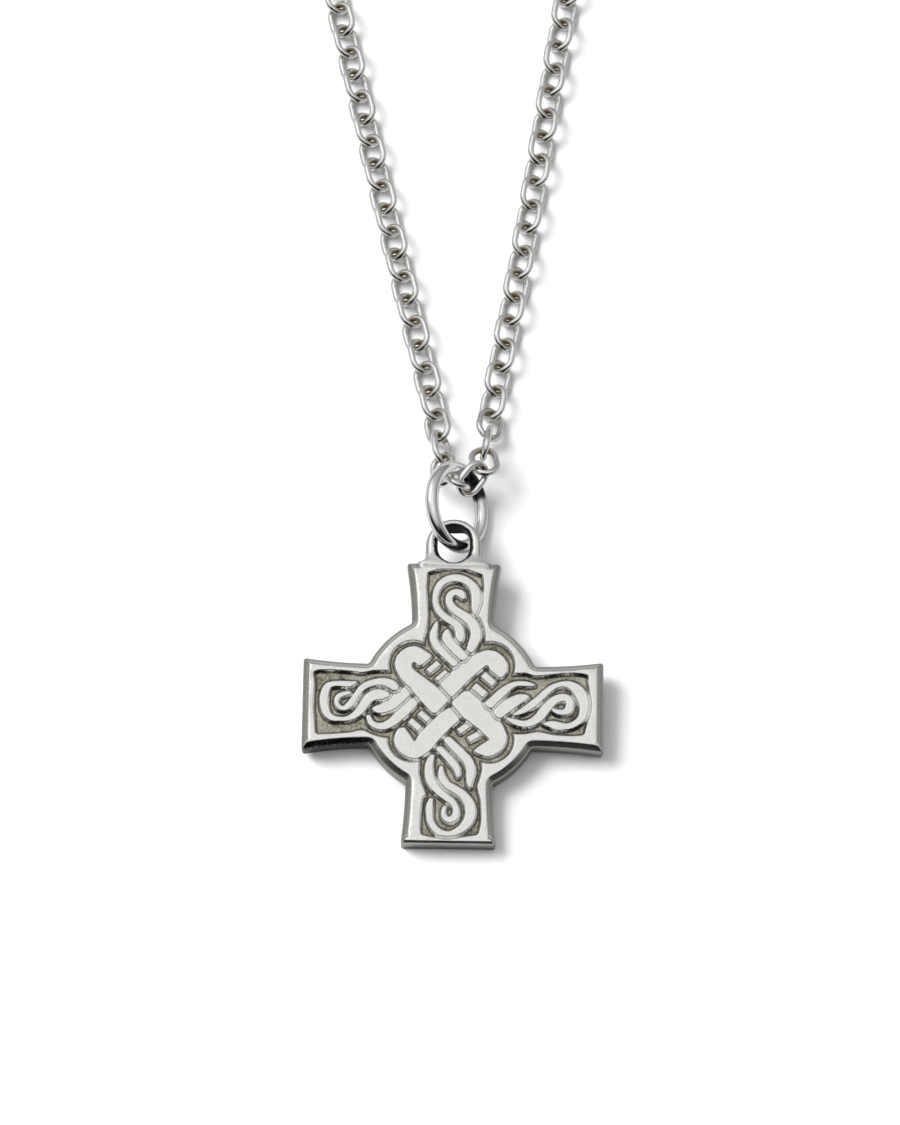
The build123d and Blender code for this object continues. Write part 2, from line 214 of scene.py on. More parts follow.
# Hooked bars of the crossing, each as its closed edge on the face
BARS = [
    [(-1.35, -1.1), (-2.5, 0.1), (-3.3, 1.1), (-4.0, 1.8), (-4.4, 2.5), (-4.55, 3.1), (-4.4, 3.7),
     (-4.0, 4.2), (-3.5, 4.5), (-3.0, 4.58), (-2.5, 4.4), (-2.0, 4.05), (-1.65, 3.8), (-2.0, 3.45),
     (-2.4, 3.1), (-2.7, 3.0), (-2.95, 3.3), (-3.2, 3.25), (-3.3, 2.9), (-3.1, 2.6), (-2.5, 2.15),
     (-1.5, 1.4), (-0.5, 0.5), (-0.2, 0.15)],
    [(-0.95, 1.5), (-0.4, 2.0), (-0.1, 2.3), (0.5, 3.1), (1.5, 3.7), (2.1, 4.1), (2.8, 4.35),
     (3.5, 4.25), (4.1, 3.8), (4.45, 3.2), (4.4, 2.6), (4.1, 2.2), (3.85, 2.1), (3.5, 2.4), (3.1, 2.72),
     (3.0, 3.0), (2.82, 3.15), (2.65, 3.05), (1.5, 2.0), (0.5, 0.9), (-0.05, 0.35)],
    [(0.1, -0.02), (1.25, 1.0), (2.3, 0.1), (3.3, -0.9), (4.1, -1.9), (4.45, -2.7), (4.4, -3.3),
     (4.0, -4.0), (3.5, -4.35), (3.0, -4.5), (2.4, -4.35), (1.9, -4.1), (2.2, -3.8), (2.7, -3.45),
     (3.05, -3.2), (3.3, -3.3), (3.05, -3.0), (2.1, -2.1), (1.1, -1.4), (0.2, -0.45)],
    [(0.7, -1.45), (-0.1, -2.2), (-1.0, -3.2), (-1.6, -4.0), (-2.2, -4.5), (-2.7, -4.75), (-3.3, -4.7),
     (-4.0, -4.3), (-4.35, -3.8), (-4.5, -3.3), (-4.4, -2.7), (-4.1, -2.3), (-3.75, -2.25), (-3.5, -2.6),
     (-3.2, -3.0), (-3.0, -3.38), (-2.78, -3.35), (-2.5, -2.8), (-1.7, -1.9), (-0.8, -1.0),
     (-0.05, -0.5)],
]

# Short strips inside the hooks: middle, length, width and slant in degrees
STRIPS = [
    (-1.47, 2.87, 1.10, 0.42, 43), (-0.80, 2.15, 1.05, 0.36, 43),
    (2.97, 1.92, 1.15, 0.52, -42), (2.25, 0.98, 1.15, 0.56, -40),
    (1.02, -2.20, 0.95, 0.45, 38), (1.85, -2.90, 0.95, 0.45, 30),
    (-2.88, -1.98, 1.05, 0.48, -42), (-2.15, -1.28, 0.95, 0.45, -42),
]

# Slot eye on the top arm
EYE_HALF = 2.27
EYE_ARC_AT = 13.3
EYE_FOOT_HALF = 3.0
EYE_THICKNESS = 1.1
EYE_BACK = 0.65
EYE_TOP = EYE_BACK + EYE_THICKNESS
EYE_ROUND = 0.46
EYE_BACK_ROUND = 0.3
SLOT_HALF = 1.3
SLOT_LOW = 13.2
SLOT_HIGH = 13.65
SLOT_ROUND = 0.50
SLOT_SLANT = 0.42
ROUND_SHARE = 0.45
ARCH_STEPS = 24

# Crown of the eye as a share of the slot's round, its painted shade, and how much lighter the slot's front
# edge is painted
CROWN_FROM = 0.6
CROWN_SPAN = 0.4
CROWN_PAINTED_DARK = 0.8
SLOT_EDGE_LESS_PAINTED = 0.85

# Foot of the eye: its left edge going down, each place with the turn of the slot's place that it faces
EYE_FOOT = [
    (-EYE_HALF, 12.9, 0), (-EYE_HALF, 12.5, 12), (-2.36, 12.15, 24), (-2.6, 11.9, 36), (-2.98, 11.74, 50),
    (-EYE_FOOT_HALF, 11.3, 64),
]

# Its lowest edge, then where, over what length and by how much its face rises towards it
EYE_FOOT_LOW = 11.2
EYE_FOOT_FROM = 12.7
EYE_FOOT_SPAN = 1.1
EYE_FOOT_RISE = 0.19
FOOT_STEPS = 10

# Ring through the eye
RING_AT = (0.21, 28.30, 3.118)
RING_RADIUS = 3.26
RING_WIRE = 1.1
RING_LEAN = math.radians(51.4)
RING_SWING = math.radians(-5.7)
RING_STEPS = (160, 40)

# Painted shade on the ring where the chain sits: the degrees where it starts and where it ends, each with
# its fade
RING_PAINTED_SHADE = ((12, 30), (92, 16))

# Chain links of round wire
WIRE = 0.54
LINK_WIDTH = 2.53
LINK_LENGTH = 3.31
LINK_SIZES = {"Wire": WIRE * MM, "Link width": LINK_WIDTH * MM, "Link length": LINK_LENGTH * MM}
LINK_STEPS = 34
WIRE_STEPS = 12

# Painted shade round the inside of a link's ends, where the next link sits, and the way that a wire's
# painted dark reflection faces
LINK_SHADE_ALONG = (0.15, 0.6)
LINK_SHADE_INWARDS = (-0.12, 0.12)
PAINTED_DARK_TOWARDS = (0.0, -0.8, 0.6)
PAINTED_DARK_FACING = (0.88, 0.98)

# Clasp and the ring it closes on
CLASP_AT = (-6.789, 230.509, 0.9635)
CLASP_HEADING = 182.2
CLASP_ROLL = 15.0
CLASP_RADIUS = 2.1
CLASP_WIRE = 0.8
CLASP_STEPS = (96, 24)
CLASP_EYE_RADIUS = 1.0
CLASP_EYE_WIRE = 0.5
CLASP_EYE_STEPS = (48, 16)
CLASP_EYE_AT = 3.4
END_RING_AT = (-9.188, 230.417, 1.0)
END_RING_RADIUS = 1.4
END_RING_WIRE = 0.56
END_RING_STEPS = (72, 18)
END_RING_ROLL = -30.0

# Colours
RING_SILVER = (0.90, 0.90, 0.895)
CHAIN_SILVER = (0.88, 0.875, 0.86)
CLASP_SILVER = (0.93, 0.93, 0.92)
# grey painted shade on the cross's bevels, walls and back
SIDE_SHADE_GREY = (0.37, 0.362, 0.34, 1)
# brown painted shade where links meet
LINK_SHADE_BROWN = (0.42, 0.375, 0.26, 1)
# near black for painted shade and painted dark reflection
PAINTED_DARK_BLACK = (0.035, 0.034, 0.036, 1)
FLOOR_PALE = (0.94, 0.94, 0.94, 1)
FLOOR_MIRRORED = (0.55, 0.55, 0.55, 1)
ROOM_PALE = (0.92, 0.92, 0.92, 1)

# Floor, just under the pendant
FLOOR_AT = -0.02
FLOOR_HALF = 3000.0

# Light from the upper left, in metres and watts, and the way to the bright patch of the room
LAMP_AT = (-0.56, 0.26, 0.62)
LAMP_TOWARDS = (0, 0.02, 0)
LAMP_SIZE = 0.55
LAMP_POWER = 9.0
PATCH_TOWARDS = (-0.62, 0.42, 0.66)

# Camera of the photograph
CAMERA_AT = (-0.28, -131.927, 391.561)
CAMERA_RIGHT = (0.9999, 0.0146, 0.0058)
CAMERA_UP = (-0.0157, 0.9284, 0.3713)
CAMERA_FORWARD = (0.0, 0.3714, -0.9285)
CAMERA_LENS = 165.31
CAMERA_SENSOR = 36.0


class Tree:
    """Short ways to add nodes to a tree. Each input is a socket to join or a value to set."""

    def __init__(self, tree):
        self.tree = tree

    def fill(self, node, inputs):
        """Joins or sets a node's inputs."""
        for key, value in inputs.items():
            if isinstance(value, bpy.types.NodeSocket):
                self.tree.links.new(value, node.inputs[key])
            else:
                node.inputs[key].default_value = value

    def add(self, kind, inputs, **settings):
        """A new node with its settings and inputs."""
        node = self.tree.nodes.new(kind)
        for key, value in settings.items():
            setattr(node, key, value)
        self.fill(node, inputs)
        return node

    def math(self, operation, *values):
        """Result of one operation on numbers."""
        return self.add("ShaderNodeMath", dict(enumerate(values)), operation=operation).outputs[0]

    def span(self, value, low, high, to_low=0.0, to_high=1.0, kind="LINEAR"):
        """A value carried from one span to another and kept within it."""
        inputs = {"Value": value, "From Min": low, "From Max": high, "To Min": to_low, "To Max": to_high}
        return self.add("ShaderNodeMapRange", inputs, interpolation_type=kind).outputs["Result"]

    def mix(self, share, first, second, kind="RGBA", blend="MIX"):
        """Two colours or two numbers mixed by a share."""
        inputs = {"Factor": share, "A": first, "B": second}
        return self.add("ShaderNodeMix", inputs, data_type=kind, blend_type=blend).outputs["Result"]

    def ramp(self, value, *stops):
        """Colour of a ramp that is given as places with a grey or a colour."""
        node = self.add("ShaderNodeValToRGB", {"Fac": value})
        elements = node.color_ramp.elements
        elements.remove(elements[-1])
        for i, (place, colour) in enumerate(stops):
            element = elements[0] if i == 0 else elements.new(place)
            element.position = place
            element.color = (*(colour if isinstance(colour, tuple) else (colour,) * 3), 1)
        return node.outputs["Color"]

    def noise(self, place, **inputs):
        """Noise at a place."""
        return self.add("ShaderNodeTexNoise", {"Vector": place, **inputs}).outputs["Fac"]

    def mark(self, name):
        """Value that a piece carries under a name, nought where it has none."""
        return self.add("ShaderNodeAttribute", {}, attribute_name=name).outputs["Fac"]

    def facing(self, way, towards):
        """How far a direction points towards another."""
        node = self.add("ShaderNodeVectorMath", {0: way, 1: towards}, operation="DOT_PRODUCT")
        return node.outputs["Value"]


def new_material(name):
    """A new material with its shader and its tree."""
    finish = bpy.data.materials.new(name)
    finish.use_nodes = True
    return finish, finish.node_tree.nodes["Principled BSDF"], Tree(finish.node_tree)


def new_group(name, kind, inputs, outputs):
    """A node group with its tree, the sockets it is given and its output node."""
    group = bpy.data.node_groups.new(name, kind)
    for in_out, sockets in (("INPUT", inputs), ("OUTPUT", outputs)):
        for title, holds, *value in sockets:
            socket = group.interface.new_socket(title, in_out=in_out, socket_type="NodeSocket" + holds)
            if value:
                socket.default_value = value[0]
    return group, Tree(group), group.nodes.new("NodeGroupInput").outputs, group.nodes.new("NodeGroupOutput")


def handling_group():
    """Marks of handling on polished silver: soft cloudiness and hairline scratches."""
    inputs = [("Place", "Vector"), ("Fineness", "Float", 900.0), ("Rough from", "Float", 0.1),
              ("Rough to", "Float", 0.2), ("Scratch", "Float", 0.3)]
    outputs = [("Roughness", "Float"), ("Height", "Float")]
    group, tree, given, out = new_group("handling marks", "ShaderNodeTree", inputs, outputs)
    cloud = tree.noise(given["Place"], Scale=given["Fineness"], Detail=4)
    hairs = []
    for turn, stretch in ((0.6, 30.0), (-0.9, 24.0)):
        laid_over = {"Vector": given["Place"], "Rotation": (0.1, 0.15, turn), "Scale": (1, stretch, 1)}
        lay = tree.add("ShaderNodeMapping", laid_over).outputs["Vector"]
        hairs.append(tree.span(tree.noise(lay, Scale=given["Fineness"], Detail=2), 0.36, 0.42))
    tree.fill(out, {
        "Roughness": tree.span(cloud, 0.35, 0.7, given["Rough from"], given["Rough to"]),
        "Height": tree.math("MULTIPLY", tree.math("MINIMUM", *hairs), given["Scratch"]),
    })
    return group


def painted_dark_group():
    """Painted shade near black over a colour, by a share that an uneven value breaks up."""
    inputs = [("Colour", "Color"), ("Share", "Float"), ("Uneven", "Float")]
    group, tree, given, out = new_group("dark_paint", "ShaderNodeTree", inputs, [("Colour", "Color")])
    share = tree.span(tree.math("ADD", given["Share"], given["Uneven"]), 0.35, 0.75, kind="SMOOTHSTEP")
    tree.fill(out, {"Colour": tree.mix(share, given["Colour"], PAINTED_DARK_BLACK)})
    return group


HANDLING = handling_group()
PAINTED_DARK_GROUP = painted_dark_group()


def handled(tree, place, fineness, rough_from, rough_to, scratch):
    """Roughness and height of the marks of handling, with a material's own values."""
    inputs = {"Place": place, "Fineness": fineness, "Rough from": rough_from, "Rough to": rough_to,
              "Scratch": scratch}
    marks = tree.add("ShaderNodeGroup", inputs, node_tree=HANDLING).outputs
    return marks["Roughness"], marks["Height"]


def with_painted_dark(tree, colour, uneven):
    """A colour with painted shade and dark reflection near black where the piece carries them."""
    inputs = {"Colour": colour, "Share": tree.mark("painted_dark_share"), "Uneven": uneven}
    return tree.add("ShaderNodeGroup", inputs, node_tree=PAINTED_DARK_GROUP).outputs["Colour"]


def polished_silver(name, colour, rough_from, rough_to, fineness, scratch):
    """Bright silver with the marks of handling, a brown painted shade where links meet, and the near black
    painted shade and dark reflection that a piece carries.
    """
    finish, shader, tree = new_material(name)
    place = tree.add("ShaderNodeTexCoord", {}).outputs["Object"]
    rough, scratches = handled(tree, place, fineness, rough_from, rough_to, scratch)
    tone = tree.noise(place, Scale=fineness * 0.6)
    shade = tree.ramp(tone, (0.35, tuple(c * 0.9 for c in colour)), (0.6, colour))
    uneven = tree.math("MULTIPLY_ADD", tone, 1.2, -0.6)
    # brown painted shade round the inside of a link's ends
    brown = tree.span(tree.math("ADD", tree.mark("link_shade"), uneven), 0.35, 0.95, kind="SMOOTHSTEP")
    browned = tree.mix(brown, shade, LINK_SHADE_BROWN)
    bump = tree.add("ShaderNodeBump", {"Strength": 0.25, "Distance": 0.00001, "Height": scratches})
    tree.fill(shader, {
        "Base Color": with_painted_dark(tree, browned, uneven),
        "Roughness": tree.mix(brown, rough, 0.5, "FLOAT"),
        "Normal": bump.outputs["Normal"],
        "Metallic": 1.0,
    })
    return finish


def cast_silver():
    """Cast silver with polished high places, a dull olive tarnish in the sunk ground, and painted shade on
    its sides and dark places.
    """
    finish, shader, tree = new_material("cast silver")
    place = tree.add("ShaderNodeTexCoord", {}).outputs["Object"]
    sunk, side = tree.mark("sunk"), tree.mark("side")
    grain = tree.noise(place, Scale=5200, Detail=5, Roughness=0.65)
    cloud = tree.noise(place, Scale=700, Detail=3)
    pits = tree.add("ShaderNodeTexVoronoi", {"Vector": place, "Scale": 4200}).outputs["Distance"]
    # tarnish gathers in the ground, thins out unevenly and is darkest on the walls
    gathered = tree.math("ADD", sunk, tree.math("MULTIPLY_ADD", grain, 0.9, -0.45))
    tarnish = tree.span(gathered, 0.52, 0.95, kind="SMOOTHSTEP")
    olive = tree.ramp(tree.mix(0.6, cloud, grain, "FLOAT"), (0.37, (0.085, 0.077, 0.056)),
                      (0.47, (0.38, 0.36, 0.285)), (0.62, (0.63, 0.61, 0.53)))
    on_wall = tree.span(sunk, 0.93, 1.0, 0.34, kind="SMOOTHSTEP")
    ground = tree.mix(1.0, olive, on_wall, blend="MULTIPLY")
    speckle = tree.ramp(grain, (0.34, (0.745, 0.74, 0.72)), (0.64, (0.83, 0.825, 0.81)))
    # bevels, walls and back are painted a darker grey: painted shade
    clean = tree.mix(side, speckle, SIDE_SHADE_GREY)
    colour = tree.mix(tarnish, clean, ground)
    # polished high places, dull sides and ground
    rough, scratches = handled(tree, place, fineness=1400, rough_from=0.17, rough_to=0.24, scratch=0.25)
    satin = tree.mix(side, rough, 0.27, "FLOAT")
    # grain of the casting in the ground, hairlines on top
    pebble = tree.math("MULTIPLY", tree.math("ADD", grain, pits), sunk)
    low = tree.add("ShaderNodeBump", {"Strength": 0.6, "Distance": 0.00006, "Height": pebble})
    fine = tree.add("ShaderNodeBump", {"Strength": 0.2, "Distance": 0.00001, "Height": scratches,
                                       "Normal": low.outputs["Normal"]})
    tree.fill(shader, {
        "Base Color": with_painted_dark(tree, colour, tree.math("MULTIPLY_ADD", grain, 1.6, -0.8)),
        "Roughness": tree.mix(tarnish, satin, 0.45, "FLOAT"),
        "Normal": fine.outputs["Normal"],
        "Metallic": 1.0,
    })
    return finish


def smooth_line(points, steps, closed):
    """Points along an even curve through the given ones, with all their columns."""
    given = np.array(points, float)
    count = len(given)
    spans = count if closed else count - 1
    out = []
    for i in range(spans):
        pick = [(i + k) % count if closed else min(max(i + k, 0), count - 1) for k in (-1, 0, 1, 2)]
        p0, p1, p2, p3 = given[pick]
        for t in np.arange(steps) / steps:
            out.append(0.5 * (2 * p1 + (p2 - p0) * t + (2 * p0 - 5 * p1 + 4 * p2 - p3) * t * t
                              + (3 * p1 - p0 - 3 * p2 + p3) * t ** 3))
    if not closed:
        out.append(given[-1])
    return np.array(out)


def eased(share):
    """A share from 0 to 1 that starts and ends gently."""
    t = np.clip(share, 0, 1)
    return t * t * (3 - 2 * t)


def turned(points, turn):
    """Points of an arm's frame laid on the face."""
    a = math.radians(turn)
    c, s = round(math.cos(a)), round(math.sin(a))
    p = np.array(points, float)
    out = p.copy()
    out[:, 0] = p[:, 0] * c - p[:, 1] * s
    out[:, 1] = p[:, 0] * s + p[:, 1] * c
    return out


def from_strand(at, line):
    """Distance outside a strand whose width changes along it."""
    best = np.full(len(at), FAR)
    for a, b in zip(line[:-1], line[1:]):
        way = b[:2] - a[:2]
        t = np.clip(((at - a[:2]) @ way) / max(way @ way, TINY), 0, 1)
        gap = np.hypot(*(at - a[:2] - t[:, None] * way).T) - (a[2] + (b[2] - a[2]) * t) / 2
        best = np.minimum(best, gap)
    return best


def from_edge(at, edge):
    """Distance outside a closed edge, negative inside it."""
    best = np.full(len(at), FAR)
    inside = np.zeros(len(at), bool)
    for a, b in zip(edge, np.roll(edge, -1, 0)):
        way = b - a
        t = np.clip(((at - a) @ way) / max(way @ way, TINY), 0, 1)
        best = np.minimum(best, np.hypot(*(at - a - t[:, None] * way).T))
        crossed = (a[1] > at[:, 1]) != (b[1] > at[:, 1])
        climb = way[1] if abs(way[1]) > TINY else TINY
        inside ^= crossed & (at[:, 0] < a[0] + (at[:, 1] - a[1]) * way[0] / climb)
    return np.where(inside, -best, best)


def softened(points):
    """A closed edge with its corners cut back."""
    p = np.array(points, float)
    ahead = np.roll(p, -1, 0)
    return np.stack([p * (1 - CORNER_CUT) + ahead * CORNER_CUT, p * CORNER_CUT + ahead * (1 - CORNER_CUT)],
                    1).reshape(-1, 2)


def relief_distance(at):
    """Distance outside the nearest raised edge, rim or island, with a groove kept between any two."""
    rim = -pocket_distance(at)
    first, second = rim.copy(), np.full(len(at), FAR)

    def keep(edge, measure, fuller):
        low, high = edge[:, :2].min(0) - NEAR, edge[:, :2].max(0) + NEAR
        near = ((at > low) & (at < high)).all(1)
        if near.any():
            gap, was = measure(at[near], edge) - fuller, first[near]
            second[near] = np.minimum(second[near], np.maximum(gap, was))
            first[near] = np.minimum(was, gap)

    for turn, strands in STRANDS.items():
        for strand in strands:
            keep(turned(smooth_line(strand, 4, False), turn), from_strand, STRAND_FULLER)
    for bar in BARS:
        keep(softened(bar), from_edge, BAR_FULLER)
    for u, v, length, width, slant in STRIPS:
        a = math.radians(slant)
        along = np.array([math.cos(a), math.sin(a)]) * length / 2
        over = np.array([-math.sin(a), math.cos(a)]) * width / 2
        corners = np.array([along + over, over - along, -along - over, along - over])
        keep(np.array([u, v]) + corners, from_edge, STRAND_FULLER)
    return np.maximum(first, (first - second) / 2 + GROOVE / 2), rim


def pocket_distance(at):
    """Distance of each place on the face outside the sunk pockets."""
    s = CROSSING_HALF
    best = from_edge(at, np.array([(-s, -s), (s, -s), (s, s), (-s, s)]))
    for turn, panel in PANELS.items():
        best = np.minimum(best, from_edge(at, turned(smooth_line(softened(panel), 1, True), turn)))
    for u in (-ROUNDEL_AT, ROUNDEL_AT):
        for v in (-ROUNDEL_AT, ROUNDEL_AT):
            best = np.minimum(best, np.hypot(at[:, 0] - u, at[:, 1] - v) - ROUNDEL_RADIUS)
    return best


def heights(at):
    """Height of the face and how far it is sunk, from 0 on top to 1 on the ground."""
    edge_gap, rim = relief_distance(at)
    high = eased((WALL_FOOT - edge_gap) / WALL_SPREAD)
    top = np.where(rim <= edge_gap + STRAND_EDGE, 1.0, STRAND_HIGH)
    wave = np.sin(at[:, 0] * 1.9 + 0.7 * np.sin(at[:, 1] * 1.3)) * np.cos(at[:, 1] * 2.3 + at[:, 0])
    return THICKNESS - SINK + SINK * high * top + WAVE * wave - WAVE_DOWN, 1 - high


def wall_painted_dark(at):
    """How dark each place is painted: a painted dark reflection on walls that face the foot, broken up, and
    most of all far out.
    """
    step = (0, SLOPE_STEP)
    slope = (heights(at + step)[0] - heights(at - step)[0]) / (2 * SLOPE_STEP)
    far_out = np.clip(np.maximum(np.abs(at[:, 0]) - 4, at[:, 1] - 9) / 2, 0, 1)
    broken = 0.76 + 0.24 * np.sin(2.6 * at[:, 0] + 1.1 * np.sin(1.9 * at[:, 1]))
    share = WALL_PAINTED_DARK * np.clip((slope - WALL_PAINTED_DARK_SLOPE) / WALL_PAINTED_DARK_SPAN, 0, 1)
    return share * (MIDDLE_PAINTED_DARK + (1 - MIDDLE_PAINTED_DARK) * far_out) * broken


def arm_side(inset, turn, way):
    """Points up one side of an arm, as if on its right, from its join with the disc to its tip."""
    reach, *sides = ARMS[turn]
    waist_share, tip_share = sides[0 if way < 0 else 1]
    waist, tip_half = WAIST_HALF * waist_share, ARM_HALF * tip_share
    bend = ((tip_half - waist) ** 2 + (reach - WAIST_AT) ** 2) / 2 / (tip_half - waist)

    def half_at(v):
        return waist + bend - math.sqrt(bend ** 2 - (v - WAIST_AT) ** 2) - inset

    join = ARM_JOIN + inset
    centre_u = half_at(JOIN_AT) + join
    centre_v = math.sqrt((DISC_RADIUS - inset + join) ** 2 - centre_u ** 2)
    start = math.atan2(-centre_v, -centre_u)
    points = []
    for k in range(ROUND_STEPS + 1):
        a = start + (-math.pi - start) * k / ROUND_STEPS
        points.append((centre_u + join * math.cos(a), centre_v + join * math.sin(a)))
    corner = max(TIP_CORNER - inset, 0.02)
    low = points[-1][1]
    top = reach - inset - corner
    for k in range(1, SIDE_STEPS + 1):
        v = low + (top - low) * k / SIDE_STEPS
        points.append((half_at(v), v))
    tip = half_at(top)
    for k in range(1, ROUND_STEPS + 1):
        a = math.pi / 2 * k / ROUND_STEPS
        points.append((tip - corner + corner * math.cos(a), top + corner * math.sin(a)))
    return points


def outline(inset):
    """Edge of the whole cross at an inset, always with the same number of points."""
    edge = []
    for turn in (0, 90, 180, 270):
        right = arm_side(inset, turn, 1)
        left = [(-u, v) for u, v in arm_side(inset, turn, -1)[::-1]]
        span = right[-1][0] - left[0][0]
        across = [(right[-1][0] - span * k / TIP_STEPS, right[-1][1]) for k in range(1, TIP_STEPS)]
        arm = turned(right + across + left, turn)
        edge.extend(arm)
        after = turned(arm_side(inset, (turn + 90) % 360, 1)[:1], turn + 90)[0]
        a = math.atan2(arm[-1][1], arm[-1][0])
        b = math.atan2(after[1], after[0])
        b += 2 * math.pi if b < a else 0
        radius = DISC_RADIUS - inset
        for k in range(1, DISC_STEPS):
            c = a + (b - a) * k / DISC_STEPS
            edge.append((radius * math.cos(c), radius * math.sin(c)))
    return np.array(edge)


def bevel_loops():
    """Outline at each step of the bevel, slimmer along lower edges, with each point's height and painted
    dark reflection.
    """
    edge = outline(0)
    way = np.roll(edge, -1, 0) - np.roll(edge, 1, 0)
    lower = np.clip(way[:, 0] / np.linalg.norm(way, axis=1), 0, 1)
    under_eye = (edge[:, 1] > TOP_END) & (np.abs(edge[:, 0]) < EYE_FOOT_HALF - 0.15)
    at_foot = edge[:, 1] < FOOT_END
    slim = np.where(at_foot, FOOT_BEVEL, LOWER_BEVEL)
    on_left = np.clip((-edge[:, 0] - LEFT_PAINTED_DARK_FROM) / LEFT_PAINTED_DARK_SPAN, 0, 1)
    # lower edges get a painted dark reflection, more of it out on the left arm
    dark_paint = lower * (EDGE_PAINTED_DARK + LEFT_PAINTED_DARK * on_left)
    loops = []
    for inset, w in BEVEL_PROFILE:
        narrow = np.where(at_foot[:, None], outline(inset * FOOT_BEVEL), outline(inset * LOWER_BEVEL))
        at = outline(inset) * (1 - lower[:, None]) + narrow * lower[:, None]
        # under the foot of the eye the arm's end stays high
        share = np.where(under_eye, EYE_BEVEL, 1 - (1 - slim) * lower) if w > 1 else 1
        tops = THICKNESS - (THICKNESS - w) * share + 0 * lower
        loops.append((at, tops, dark_paint if w < EDGE_PAINTED_DARK_TOP else 0 * lower))
    return loops


def face_points(edge):
    """Places inside the rim, close together where the relief turns and far apart on the flats."""
    def rows(step):
        v = np.arange(-FACE_TALL, FACE_TALL, step * ROW_SHARE)
        u = np.arange(-FACE_WIDE, FACE_WIDE, step)
        grid_u, grid_v = np.meshgrid(u, v)
        grid_u = grid_u + (np.arange(len(v)) % 2)[:, None] * step / 2
        return np.stack([grid_u.ravel(), grid_v.ravel()], 1)

    at = rows(COARSE)
    at = at[from_edge(at, edge[::3]) < -RIM_CLEAR]
    picked = [at[pocket_distance(at) > POCKET_MARGIN + 0.02]]
    for step, in_turn in ((MIDDLE, False), (FINE, True)):
        at = rows(step)
        at = at[np.abs(at).max(1) < POCKETS_END]
        at = at[pocket_distance(at) < POCKET_MARGIN]
        edge_gap, _ = relief_distance(at)
        turning = (edge_gap > TURN_FROM) & (edge_gap < TURN_TO)
        picked.append(at[turning == in_turn])
    return np.concatenate(picked)


def placed(name, data):
    """A new object in the scene."""
    thing = bpy.data.objects.new(name, data)
    bpy.context.scene.collection.objects.link(thing)
    return thing


def new_piece(name, verts, faces, material, smooth=True):
    """A mesh object from points in millimetres."""
    mesh = bpy.data.meshes.new(name)
    mesh.from_pydata([tuple(c * MM for c in v) for v in verts], [], faces)
    mesh.update()
    mesh.materials.append(material)
    mesh.polygons.foreach_set("use_smooth", [smooth] * len(mesh.polygons))
    return placed(name, mesh)


def mark_points(piece, name, values):
    """Gives every point of a piece a value that its material reads by name."""
    mark = piece.data.attributes.new(name, "FLOAT", "POINT")
    mark.data.foreach_set("value", np.array(values, np.float32))


def wrapped_faces(around, over):
    """Faces over a grid of points that closes both ways."""
    faces = []
    for i in range(around):
        for j in range(over):
            k, m = (i + 1) % around, (j + 1) % over
            faces.append((i * over + j, i * over + m, k * over + m, k * over + j))
    return faces


def eye_pairs():
    """Places round the slot's edge, each with the place of the eye's outer edge that it faces."""
    def slot_at(turn, high):
        return SLOT_HALF * math.cos(turn), high + SLOT_HALF * math.sin(turn)

    pairs = []
    for k in range(ARCH_STEPS + 1):
        a = math.pi * k / ARCH_STEPS
        pairs.append((slot_at(a, SLOT_HIGH), (EYE_HALF * math.cos(a), EYE_ARC_AT + EYE_HALF * math.sin(a))))
    for u, v, turn in EYE_FOOT:
        pairs.append((slot_at(math.pi + math.radians(turn), SLOT_LOW), (u, v)))
    last = EYE_FOOT[-1][2]
    for k in range(1, FOOT_STEPS):
        turn = last + (180 - 2 * last) * k / FOOT_STEPS
        u = -EYE_FOOT_HALF + 2 * EYE_FOOT_HALF * k / FOOT_STEPS
        pairs.append((slot_at(math.pi + math.radians(turn), SLOT_LOW), (u, EYE_FOOT_LOW)))
    for u, v, turn in EYE_FOOT[::-1]:
        pairs.append((slot_at(-math.radians(turn), SLOT_LOW), (-u, v)))
    return pairs


def eye_shell():
    """Rounded slot eye, its foot buried in the top arm: points, faces and how dark each point is painted, a
    painted shade in the slot and round the crown.
    """
    # quarter rounds: on the slot's side, width, height, at the front, gone through backwards
    rounds = (
        (True, EYE_ROUND, SLOT_ROUND, True, False),
        (False, EYE_ROUND, EYE_ROUND, True, True),
        (False, EYE_BACK_ROUND, EYE_BACK_ROUND, False, False),
        (True, EYE_BACK_ROUND, EYE_BACK_ROUND, False, True),
    )
    steps = np.linspace(0, math.pi / 2, ROUND_STEPS + 1)
    pairs = eye_pairs()
    verts, painted_dark_share = [], []
    for inner, outer in pairs:
        inner, outer = np.array(inner), np.array(outer)
        width = np.linalg.norm(outer - inner)
        way = (outer - inner) / width
        at_top = eased(((inner[1] - SLOT_HIGH) / SLOT_HALF - CROWN_FROM) / CROWN_SPAN)
        for at_slot, wide, high, front, backwards in rounds:
            slant = 0 if front else SLOT_SLANT * at_top
            for a in steps[::-1] if backwards else steps:
                off = min(wide, width * ROUND_SHARE) * (1 - math.cos(a))
                at = inner + way * (off - slant) if at_slot else outer - way * off
                if front:
                    w = EYE_TOP - high + high * math.sin(a)
                    w += EYE_FOOT_RISE * eased((EYE_FOOT_FROM - at[1]) / EYE_FOOT_SPAN) * math.sin(a)
                else:
                    w = EYE_BACK + high - high * math.sin(a)
                verts.append((at[0], at[1], w))
                # painted shade: the slot's walls near black, lighter towards the front edge, and the
                # crown's outer wall
                if at_slot:
                    painted_dark_share.append(1 - SLOT_EDGE_LESS_PAINTED * (a / (math.pi / 2)) ** 3 if front else 1.0)
                else:
                    painted_dark_share.append(CROWN_PAINTED_DARK * at_top * (1 - math.sin(a) if front else 1))
    return np.array(verts), wrapped_faces(len(pairs), len(rounds) * len(steps)), painted_dark_share


